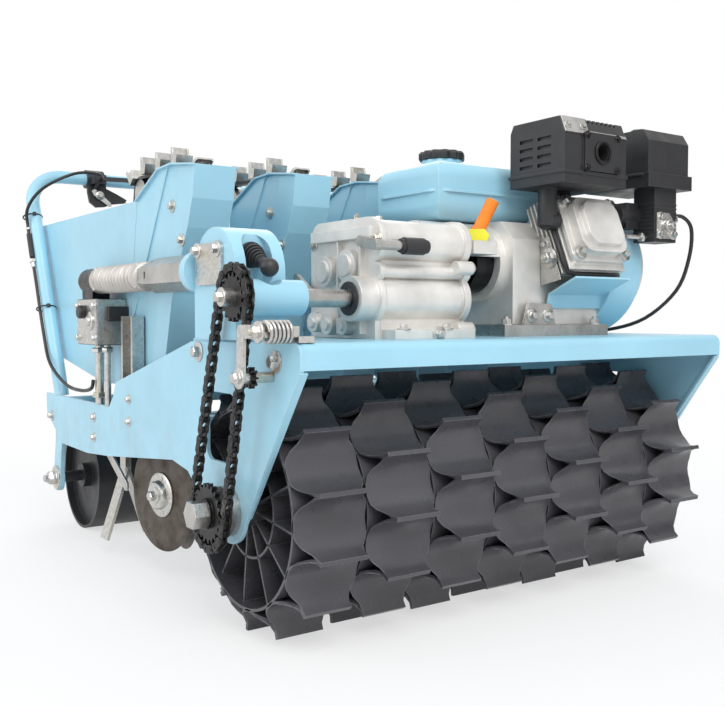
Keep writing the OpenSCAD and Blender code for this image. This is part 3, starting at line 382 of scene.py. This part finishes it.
def lugged_drum():
    """Hollow lugs with rounded valleys, narrowing to their tips, and ribbed webs in the outer wheels."""
    lugs, wheels, ribs, points = 13, 7, 12, 12
    tip_r, bore_r, hub_r, sheet = 160, 13, 22.5, 3.2
    pitch, half, tip_half = 101.786, 48.643, 32
    deep = 0.8 * half
    step = 2 * math.pi / lugs
    valley_r = tip_r * math.sin(step / 2) - 2.5
    floor_r = tip_r - valley_r
    rim_r = floor_r - 4
    ring_r = 0.52 * rim_r
    under_r = valley_r + sheet
    under_top = tip_r * math.cos(step / 2) - math.sqrt(under_r ** 2 - (tip_r * math.sin(step / 2)) ** 2)
    under_reach = math.atan2(under_top * math.sin(step / 2), tip_r - under_top * math.cos(step / 2))
    arcs = ((valley_r, math.acos(valley_r / (2 * tip_r))), (under_r, under_reach))

    # Radius and angle of points on the outer arc and the arc under it, valley by valley
    outline = []
    for k in range(lugs):
        mid = (k + 0.5) * step
        for j in range(points + 1):
            pair = []
            for radius, reach in arcs:
                a = mid + math.pi + reach * (1 - 2 * j / points)
                x = tip_r * math.cos(mid) + radius * math.cos(a)
                z = tip_r * math.sin(mid) + radius * math.sin(a)
                pair.append((math.hypot(x, z), math.atan2(z, x)))
            outline.append(pair)

    shape = Shape()
    for wheel in range(wheels):
        y = (wheel - (wheels - 1) / 2) * pitch
        phase = -math.pi / 2 + (step / 4 if wheel % 2 else -step / 4)
        hub = Vector((0, y, 0))
        columns = []
        for (r, a), (under, under_a) in outline:
            share = min(1.0, max(0.0, ((r - floor_r) / (tip_r - floor_r) - 0.06) / 0.66))
            w = half - (half - tip_half) * share * share * (3 - 2 * share)
            columns.append([
                (radius * math.cos(turn + phase), y + side, radius * math.sin(turn + phase))
                for radius, turn, side in ((under, under_a, -w), (r, a, -w), (r, a, w), (under, under_a, w))
            ])
        shape.skin(columns, closed=True)
        rim = [(-half, rim_r), (-half, floor_r - 0.7), (half, floor_r - 0.7), (half, rim_r)]
        web = [(-2.5, bore_r), (-2.5, rim_r + 1), (2.5, rim_r + 1), (2.5, bore_r)]
        shape.turned(hub, LEFT, rim, 78, True)
        shape.turned(hub, LEFT, web, 52, True)
        if wheel in (0, wheels - 1):
            out = -1 if wheel == 0 else 1
            for inner, outer, depth in ((bore_r, hub_r, half), (ring_r - 3, ring_r, deep)):
                collar = [(0, inner), (0, outer), (depth, outer), (depth, inner)]
                shape.turned(hub, (0, out, 0), collar, 40, True)
            for k in range(ribs):
                a = 2 * math.pi * k / ribs + phase
                ray = Vector((math.cos(a), 0, math.sin(a)))
                side = 1.3 * Vector((-math.sin(a), 0, math.cos(a)))
                foot, end = hub + 20 * ray, hub + (rim_r + 3) * ray
                shape.plate([foot - side, end - side, end + side, foot + side], (0, out * deep, 0))
    piece("drum_paddles", "drum_plastic", "drum", shape, ["drum_wheels"])


def roller_chain():
    """Plates and rollers along the loop round the drum axle's sprocket and the output shaft's."""
    low_r, top_r, links = 42.605, 34.557, 60
    plate_r, waist = 5.5, 4.2
    pin = [(0, 1.7), (0.4, 2.1), (10.8, 2.1), (11.2, 1.7)]
    roller = [(0, 3.5), (0.4, 3.9), (4.0, 3.9), (4.4, 3.5)]
    top = Vector((OUTPUT_X, OUTPUT_Z))
    lean = math.atan2(top.y, top.x)
    spread = math.acos((low_r - top_r) / top.length)
    run = math.sqrt(top.length ** 2 - (low_r - top_r) ** 2)
    low_arc, top_arc = low_r * (2 * math.pi - 2 * spread), top_r * 2 * spread
    around = low_arc + top_arc + 2 * run

    def ray(angle):
        return Vector((math.cos(angle), math.sin(angle)))

    def on_loop(s):
        s %= around
        if s < low_arc:
            return low_r * ray(lean + spread + s / low_r)
        if s < low_arc + run:
            share = (s - low_arc) / run
            return low_r * ray(lean - spread) * (1 - share) + (top + top_r * ray(lean - spread)) * share
        if s < low_arc + run + top_arc:
            return top + top_r * ray(lean - spread + (s - low_arc - run) / top_r)
        share = (around - s) / run
        return low_r * ray(lean + spread) * (1 - share) + (top + top_r * ray(lean + spread)) * share

    pitch = around / links
    plates, pins = Shape(), Shape()
    for k in range(links):
        first, second = on_loop(k * pitch), on_loop((k + 1) * pitch)
        d = (second - first).normalized()
        n = Vector((-d.y, d.x))
        outline = []
        for end, turn in ((first, math.pi), (second, 0.0)):
            for t in (-2.0, -1.2, -0.4, 0.4, 1.2, 2.0):
                outline.append(end + plate_r * (math.cos(turn + t) * d + math.sin(turn + t) * n))
            outline.append((first + second) / 2 + waist * n * (-1 if turn else 1))
        near, far = (3.7, 5.0) if k % 2 == 0 else (2.3, 3.6)
        for side in SIDES:
            plates.plate([(p.x, CHAIN_Y + side * near, p.y) for p in outline], (0, side * (far - near), 0))
        pins.turned((first.x, CHAIN_Y - 5.6, first.y), LEFT, pin, 10)
        pins.turned((first.x, CHAIN_Y - 2.2, first.y), LEFT, roller, 12)
    piece("chain_plates", "black_steel", "chassis", plates, ["drive_chain"])
    piece("chain_rollers", "black_steel", "chassis", pins)


lugged_drum()
roller_chain()

# Safety coupling: a close coil between two collars with set screws
shape = Shape()
shape.coil((-412, DRIVE_Y, DRIVE_Z), FORWARD, 156, 17.3, 4.2, 12)
for start, length in ((-429, 19), (-258, 20)):
    collar = [(0, 18.5), (2, 21.4), (length - 2, 21.4), (length, 18.5)]
    shape.turned((start, DRIVE_Y, DRIVE_Z), FORWARD, collar, 28)
    for turn in (0.5, 2.2, 3.9, 5.4):
        out = Vector((0, math.cos(turn), math.sin(turn)))
        shape.bolt(Vector((start + length / 2, DRIVE_Y, DRIVE_Z)) + 19.5 * out, out, 5)
spring_steel = cast("spring_steel", linear(198, 192, 186))
piece("coupling_coil", "zinc_steel", "chassis", shape, ["coupling_spring"], spring_steel)

# Turned-out rims along the upper edges of the row housings
RIM = [(-347, 410.6), (-261, 447.2), (-232, 448.3), (-215, 449.2), (-147, 440.4)]
shape = Shape()
for row_y in ROW_YS:
    for side in SIDES:
        y = row_y + side * 27
        upper = [(x, y, z) for x, z in RIM]
        lower = [(x, y, z - 2.6) for x, z in reversed(RIM)]
        shape.plate(upper + lower, (0, side * 9, 0))
piece("row_rims", "blue_paint", "chassis", shape)

# Bolts of the frame, the rows and the supports
PLATE_BOLTS = (
    (-84, 190, 13), (115, 185, 13), (-484, 70, 8), (-485, 37, 8), (-328, 111, 8), (-329, 77, 8),
    (-713, 53, 10),
)
shape = Shape()
for side in SIDES:
    for x, z, flats in PLATE_BOLTS:
        shape.bolt((x, side * PLATE_FACE, z), (0, side, 0), flats)
    shape.bolt((-705, side * 365, -61.1), (0, side, 0), 22, 7)
    shape.bolt((-349, side * 350, 205), (0, side, 0), 10)
    for row_y in ROW_YS:
        shape.bolt((-223, row_y + side * 28.5, 390), (0, side, 0), 9)
        shape.bolt((-186, row_y + side * 31, 340), (0, side, 0), 9)
for x in (-44, 10):
    shape.bolt((x, -390, 315), RIGHT, 10)
shape.bolt((106, -411, 168), RIGHT, 12)
shape.bolt((-482, DRIVE_Y, DRIVE_Z), REARWARD, 20, 8)
piece("frame_bolts", "zinc_steel", "chassis", shape)

# Bolt in the end of the output shaft
shape = Shape()
shape.bolt((OUTPUT_X, -413, OUTPUT_Z), RIGHT, 11)
piece("shaft_bolt", "zinc_steel", "drive_shaft", shape)

# Disc hubs: a plated flange over each disc's boss, with its nut and rivets
TOE = math.radians(8)
HUB = [(3.1, 33.5), (5.2, 33.5), (6.8, 31), (6.8, 22), (13.6, 20.6), (15.2, 19)]
for row, row_y in enumerate(ROW_YS, 1):
    for side, mark in zip(SIDES, "rl"):
        axis = Vector((math.sin(TOE), side * math.cos(TOE), 0))
        centre = Vector((-300, row_y, -32)) + 14.73 * axis
        shape = Shape()
        shape.turned(centre, axis, HUB, 36)
        shape.bolt(centre + 15 * axis, axis, 13)
        u, v = axes(axis)[:2]
        for c, s in circle(5):
            shape.turned(centre + 26.5 * (c * u + s * v), axis, [(6.6, 2.6), (8, 2.4), (8.6, 1.4)], 8)
        piece(f"disc_hub_{row}{mark}", "zinc_steel", f"opener_{row}{mark}", shape)

# Gearbox: bolts of its foot, flange, top and seam
shape = Shape()
for y in (-185, -117):
    shape.bolt((105, y, 219), UP, 9)
shape.bolt((112, -135, 213.2), FORWARD, 10)
for z in (219, 297):
    shape.bolt((99, -72, z), LEFT, 9)
for x, y in ((8, -112), (30, -104), (-30, -190), (60, -190)):
    shape.bolt((x, y, 355), UP, 8)
for x, z in ((-44, 233), (92, 330), (-52, 330)):
    shape.bolt((x, -215, z), RIGHT, 8)
piece("gearbox_bolts", "zinc_steel", "chassis", shape)

# Lip seal round the output shaft
SEAL = [(-1, 12), (-1, 21), (1.6, 21), (2.2, 19), (1.2, 16), (2.2, 13), (1.6, 12)]
shape = Shape()
shape.turned((OUTPUT_X, -241, OUTPUT_Z), RIGHT, SEAL, 28, True)
piece("shaft_seal", "black_plastic", "chassis", shape)

# Yellow tag under the oil handle
TAG = [
    (53.6, -39.9, 337), (70.2, -16.1, 337), (71.6, -14.0, 345), (68.0, -19.3, 353), (55.8, -36.7, 353),
    (52.2, -41.9, 345),
]
shape = Shape()
shape.plate(TAG, (1.6, -1.1, 0))
tag_plastic = moulded("tag_plastic", linear(238, 230, 52), linear(250, 246, 170), 0.4)
piece("oil_tag", "orange_plastic", "chassis", shape, finish=tag_plastic)

# Clutch: bracket under the grip with its lever, and the cable's end sleeve, adjuster and ties on the leg
CABLE_Y, TUBE_Y = -378, -361.5
LEG_SLOPE = 0.4582
LEG_AXIS = Vector((-LEG_SLOPE, 0, 1)).normalized()
BRACKET = (
    (-249, 516), (-214, 516), (-211, 494), (-190, 485), (-168, 474), (-172, 467), (-200, 463), (-214, 457),
    (-232, 455), (-245, 465), (-249, 486),
)
LEVER = ((-243, 487), (-236, 492), (-204, 466), (-201, 459), (-206, 457), (-238, 478))


def on_cable(z):
    """The clutch cable's middle at a height, beside the leaning handlebar leg."""
    return Vector((-680 - (z - 93) * LEG_SLOPE, CABLE_Y, z))


shape = Shape()
shape.plate([(-866, y, z) for y, z in BRACKET], (8, 0, 0))
shape.tube([(-831, -232.5, 508), (-838, -233, 505), (-850, -233.5, 498), (-862, -234, 490)], 4.6, 12)
shape.turned((-858, -226, 484), FORWARD, [(-0.2, 9), (3, 9), (5, 7.5)], 20)
shape.turned(on_cable(345), LEG_AXIS, [(0, 3.6), (1, 5), (50, 5), (52, 3.6)], 16)
piece("clutch_bracket", "black_plastic", "chassis", shape)

shape = Shape()
shape.plate([(-857.5, y, z) for y, z in LEVER], (4, 0, 0))
shape.bolt((-853.6, -226, 479), FORWARD, 9)
for base, length in ((326, 19), (399, 5)):
    sleeve = [(0, 3.4), (1, 4.2), (length - 1, 4.2), (length, 3.4)]
    shape.turned(on_cable(base), LEG_AXIS, sleeve, 14)
shape.turned(on_cable(336), LEG_AXIS, [(0, 6.6), (5, 6.6), (5.6, 6)], 6)
piece("clutch_fittings", "zinc_steel", "chassis", shape)

shape = Shape()
across = Vector(LEFT).cross(LEG_AXIS)
for height in (425, 249):
    tie = on_cable(height)
    tie.y = (TUBE_Y + CABLE_Y) / 2 + 3.4
    band = [tie + Vector((0, 17.6 * c, 0)) + 13.6 * s * across for c, s in circle(28)]
    shape.loop(band, 1.5, LEG_AXIS, 8)
    head = tie + 13.6 * across
    shape.turned(head - 3 * LEG_AXIS, LEG_AXIS, [(0, 3.2), (0.8, 4), (5.2, 4), (6, 3.2)], 8)
piece("tube_ties", "black_plastic", "chassis", shape)

# Chain tensioner: its spring round the arm's pivot, and the pivot's bolt
shape = Shape()
shape.coil((150, -404, 219), LEFT, 30, 11.2, 2.0, 6)
shape.tube([(161.2, -404, 219), (160, -405.5, 226), (148, -405.5, 229), (132, -405.8, 227.5)], 2.0, 8)
shape.bolt((150, -411, 219), RIGHT, 12, 4)
piece("tension_spring", "zinc_steel", "chassis", shape)

# Seed drive: depth knob and stop block
COVER_FACE, CASE_LOW, CASE_HIGH = -393.5, 191, 261
shape = Shape()
shape.turned((-458, COVER_FACE, 241.7), RIGHT, [(-1, 9), (1, 10.5), (8, 10.5), (10, 8.5)], 24)
shape.plate([(-397, y, z) for y, z in ((-378, 227), (-347, 227), (-347, 250), (-378, 250))], (10, 0, 0))
piece("drive_knob", "black_plastic", "chassis", shape)

# Seed drive: plated covers with their screws and shaft cap, and nuts on the adjuster rods
CAP = [(-0.5, 15), (2, 15), (3, 13.5), (3, 8), (6, 7.4), (6.6, 6)]
COVER = ((-491, CASE_LOW), (-399, CASE_LOW), (-399, CASE_HIGH), (-491, CASE_HIGH))
COVER_END = ((-393, CASE_LOW), (-347, CASE_LOW), (-347, CASE_HIGH), (-393, CASE_HIGH))
shape = Shape()
shape.plate([(x, -391.5, z) for x, z in COVER], (0, -2.1, 0))
for x, thick in ((-398.1, 1.4), (-491.9, -1.4)):
    shape.plate([(x, y, z) for y, z in COVER_END], (thick, 0, 0))
for z in (201, 251):
    for x in (-483, -407):
        shape.bolt((x, COVER_FACE, z), RIGHT, 8)
shape.turned((-428, COVER_FACE, 227), RIGHT, CAP, 28)
for x, z, r in ((-462, 176, 12), (-462, 104, 12), (-424, 178, 9)):
    shape.turned((x, -367.5, z), UP, [(0, 0.9 * r), (1.2, r), (7, r), (8.2, 0.9 * r)], 6)
piece("drive_trim", "zinc_steel", "chassis", shape)

# Engine: bolts of the rocker cover, the base, the side plate and the bell
LEAN = math.radians(22)
CRANK_X, CRANK_Z, CYLINDER_Y = -20, 313, 165
ALONG_BORE = Vector((math.cos(LEAN), 0, math.sin(LEAN)))
ACROSS_BORE = Vector((-math.sin(LEAN), 0, math.cos(LEAN)))


def on_cylinder(u, y, w):
    """A place along the leaning cylinder, to its side and above its middle."""
    return Vector((CRANK_X, CYLINDER_Y + y, CRANK_Z)) + u * ALONG_BORE + w * ACROSS_BORE


shape = Shape()
for y in (-46, 46):
    for w in (-40, 40):
        shape.bolt(on_cylinder(129.9, y, w), ALONG_BORE, 10)
for y in (26, 206):
    shape.bolt((64, y, 222.9), UP, 12, 3)
for y in (74, 106):
    shape.bolt((66, y, 236), FORWARD, 10)
shape.bolt((70, 104, 318), RIGHT, 15, 3)
shape.bolt((61, 104, 338), RIGHT, 8)
for turn in (1.2, 0.3, -0.6, 2.1):
    x, z = CRANK_X + 37 * math.cos(turn), CRANK_Z + 37 * math.sin(turn)
    shape.bolt((x, -72, z), RIGHT, 8)
piece("engine_bolts", "zinc_steel", "chassis", shape)

# Exhaust: guard strips on the front edge with their screws
shape = Shape()
shape.plate([(139.9, 58, 481.5), (139.9, 104, 481.5), (131.3, 104, 503.4), (131.3, 58, 503.4)], (1.9, 0, 0.8))
shape.plate([(140, 104, 482.5), (140, 181, 482.5), (138.4, 181, 486.5), (138.4, 104, 486.5)], (1.5, 0, 0.6))
for y in (66, 96):
    shape.bolt((137.6, y, 492.6), (0.925, 0, 0.38), 6)
piece("exhaust_trim", "bare_steel", "chassis", shape)

# Exhaust: the outlet's rim and the screws of its plate
OUTLET_RIM = [(-1, 12.2), (-1, 16), (2.2, 16), (3, 15), (3, 12.2)]
shape = Shape()
shape.turned((143.9, 128.5, 459), FORWARD, OUTLET_RIM, 32, True)
for y, z in ((98, 437), (159, 437), (98, 481), (159, 481)):
    shape.bolt((144, y, z), FORWARD, 5.5)
piece("exhaust_rim", "black_steel", "chassis", shape)

# Spark lead under the fins
LEAD = (
    (92, -55, 40), (97, -61.5, 34), (106, -62.5, 14), (108, -62.5, -18), (107, -61.5, -44), (105, -55, -59),
    (104, -40, -61.8), (104, 0, -62), (104, 40, -62), (100, 56, -60), (94, 61.5, -52), (86, 58, -44),
)
shape = Shape()
shape.tube([on_cylinder(*p) for p in LEAD], 3.4, 12)
piece("spark_lead", "black_cable", "chassis", shape)

# Filler cap with grip lobes
CAP_X, CAP_Y, CAP_LOBES, CAP_POINTS = -70, 20, 12, 96
shape = Shape()
rings = []
for h, r in ((465.8, 31.5), (468, 33), (476, 33), (479, 30), (480, 20)):
    ring = []
    for k in range(CAP_POINTS):
        t = 2 * math.pi * k / CAP_POINTS
        reach = r + 1.6 * math.cos(CAP_LOBES * t)
        ring.append((CAP_X + reach * math.cos(t), CAP_Y + reach * math.sin(t), h))
    rings.append(ring)
shape.skin(rings)

# In the same black plastic: the air filter's knob, the ribs of its neck, its studs and clips
KNOB = [(-0.5, 7), (4, 7), (4, 13), (5.5, 14.5), (9, 14.5), (10.5, 12)]
NECK = ((89.4, 261.4), (128.6, 261.4), (128.6, 312.6), (89.4, 312.6))
shape.turned((80, 284, 506.8), UP, KNOB, 6)
for z in range(352, 401, 6):
    shape.plate([(x, y, z) for x, y in NECK], (0, 0, 2.4))
for x in (45, 80, 115):
    for z in (431, 437):
        shape.turned((x, 333.8, z), LEFT, [(-0.4, 5), (1.6, 5), (2.4, 4)], 14)
for y in (232.2, 335.6):
    shape.tube([(30, y, 441), (60, y, 441.5), (100, y, 441.5), (130, y, 441)], 1.9, 8)
piece("filler_cap", "black_plastic", "chassis", shape)

# Throttle bracket with its bolts, pivot and rod, and the carburettor's fuel pipe with its nut
THROTTLE_PLATE = ((264, 350), (308, 350), (308, 372), (292, 388), (264, 388))
PIVOT = [(-0.4, 9), (6, 9), (7, 8), (7, 4), (12, 4), (12.6, 3)]
shape = Shape()
shape.plate([(128.4, y, z) for y, z in THROTTLE_PLATE], (3, 0, 0))
for y, z in ((271, 357), (301, 357), (271, 381)):
    shape.bolt((131.2, y, z), FORWARD, 8)
shape.turned((131.2, 287, 369), FORWARD, PIVOT, 20)
shape.tube(
    [(139, 287, 369), (139, 300, 376), (132, 309, 383), (118, 313.6, 385.6), (108, 314, 385.4)], 1.5, 8,
)
shape.tube([(112, 218, 352), (112, 235, 352), (112, 250, 352), (112, 262.5, 352)], 3.4, 12)
shape.turned((112, 249, 352), LEFT, [(0, 6.4), (1, 7), (6, 7), (7, 6.4)], 6)
shape.turned((108, 312.5, 385), LEFT, [(-0.5, 5.5), (7, 5.5), (8, 4.8)], 6)
piece("throttle_bracket", "zinc_steel", "chassis", shape)


# Studio


def studio_floor():
    """Pale floor that looks white to the camera and in reflections, and still takes the object's shadow."""
    bpy.ops.mesh.primitive_plane_add(size=40, location=(0, 0, -0.0005))
    floor = bpy.context.object
    floor.name = "floor"
    f = Finish("floor", edge=0.0)
    white = f.node("ShaderNodeEmission")
    white.inputs["Strength"].default_value = 1.0
    seen = f.node("ShaderNodeLightPath")
    rays = f.math("MAXIMUM", seen.outputs["Is Camera Ray"], seen.outputs["Is Glossy Ray"])
    rays = f.math("MAXIMUM", rays, seen.outputs["Is Transmission Ray"])
    mixed = f.node("ShaderNodeMixShader")
    reach = f.node("ShaderNodeVectorMath", {"operation": "LENGTH"})
    f.set(reach.inputs[0], f.place)
    whiter = f.span(reach.outputs["Value"], 0.7, 1.7, 0.62, 1.0)
    f.set(mixed.inputs[0], f.math("MULTIPLY", rays, whiter))
    f.set(mixed.inputs[1], f.shader.outputs[0])
    f.set(mixed.inputs[2], white.outputs[0])
    f.set(f.tree.nodes["Material Output"].inputs["Surface"], mixed.outputs[0])
    shade = f.blend(f.noise(3, 2), linear(236, 236, 237), linear(243, 243, 243))
    f.finish(shade, f.span(f.noise(9, 3), 0, 1, 0.6, 0.8))
    floor.data.materials.append(f.material)


def studio_world(strength):
    """White to the camera, to metal and to glass; a softer grey as light on the object."""
    world = bpy.data.worlds.new("studio")
    bpy.context.scene.world = world
    world.use_nodes = True
    tree = world.node_tree
    ambient = tree.nodes["Background"]
    ambient.inputs["Color"].default_value = (0.93, 0.97, 1.0, 1.0)
    ambient.inputs["Strength"].default_value = strength
    white = tree.nodes.new("ShaderNodeBackground")
    white.inputs["Color"].default_value = (1.0, 1.0, 1.0, 1.0)
    path = tree.nodes.new("ShaderNodeLightPath")
    first, second = (tree.nodes.new("ShaderNodeMath") for _ in range(2))
    for made, pair in ((first, ("Is Camera Ray", "Is Glossy Ray")), (second, (None, "Is Transmission Ray"))):
        made.operation = "MAXIMUM"
        tree.links.new(path.outputs[pair[0]] if pair[0] else first.outputs[0], made.inputs[0])
        tree.links.new(path.outputs[pair[1]], made.inputs[1])
    mixed = tree.nodes.new("ShaderNodeMixShader")
    for value, socket in zip((second.outputs[0], ambient.outputs[0], white.outputs[0]), mixed.inputs):
        tree.links.new(value, socket)
    tree.links.new(mixed.outputs[0], tree.nodes["World Output"].inputs["Surface"])


def soft_box(name, place, aim, size, power):
    """A square area lamp turned towards a point."""
    lamp = bpy.data.objects.new(name, bpy.data.lights.new(name, "AREA"))
    lamp.data.size = size
    lamp.data.energy = power
    lamp.location = place
    lamp.rotation_euler = (Vector(aim) - Vector(place)).to_track_quat("-Z", "Y").to_euler()
    bpy.context.scene.collection.objects.link(lamp)


def dark_flag(name, place, aim, width, height):
    """A black card outside the picture, which gives metal something dark to mirror."""
    card = bpy.data.objects.new(name, bpy.data.meshes.new(name))
    grid = bmesh.new()
    bmesh.ops.create_grid(grid, x_segments=1, y_segments=1, size=0.5)
    bmesh.ops.scale(grid, vec=(width, height, 1), verts=grid.verts)
    grid.to_mesh(card.data)
    grid.free()
    card.location = place
    card.rotation_euler = (Vector(aim) - Vector(place)).to_track_quat("Z", "Y").to_euler()
    card.visible_camera = False
    card.visible_shadow = False
    card.visible_diffuse = False
    bpy.context.scene.collection.objects.link(card)
    card.data.materials.append(FINISHES["black_cable"])


MIDDLE = (0, 0, 0.3)
studio_floor()
studio_world(0.7)
soft_box("key", (2.6, -0.9, 2.7), MIDDLE, 2.2, 75)
soft_box("fill", (-0.4, -3.0, 1.6), MIDDLE, 2.4, 30)
soft_box("back", (-2.4, 1.8, 2.2), MIDDLE, 2.0, 30)
dark_flag("flag_right", (1.4, 2.6, 0.9), MIDDLE, 1.6, 1.6)
dark_flag("flag_front", (3.4, -2.6, 0.25), MIDDLE, 1.2, 0.5)


# Camera: solved from the photograph's straight edges, with its turn and height angles as seen there

TURN = math.radians(55.045)
RISE = math.radians(2.336)
LOOK_AT = (-248.86, 0, 174.16)
DISTANCE = 1.54202
FOCAL_PIXELS = 934.18
PICTURE_WIDTH = 724

back = Vector((math.sin(TURN) * math.cos(RISE), -math.cos(TURN) * math.cos(RISE), math.sin(RISE)))
camera = bpy.data.objects.new("camera", bpy.data.cameras.new("camera"))
camera.location = at(*LOOK_AT) + DISTANCE * back
camera.rotation_euler = back.to_track_quat("Z", "Y").to_euler()
camera.data.sensor_fit = "HORIZONTAL"
camera.data.sensor_width = 36
camera.data.lens = FOCAL_PIXELS * camera.data.sensor_width / PICTURE_WIDTH
camera.data.clip_end = 100
bpy.context.scene.collection.objects.link(camera)
bpy.context.scene.camera = camera
bpy.context.scene.view_settings.view_transform = "Standard"
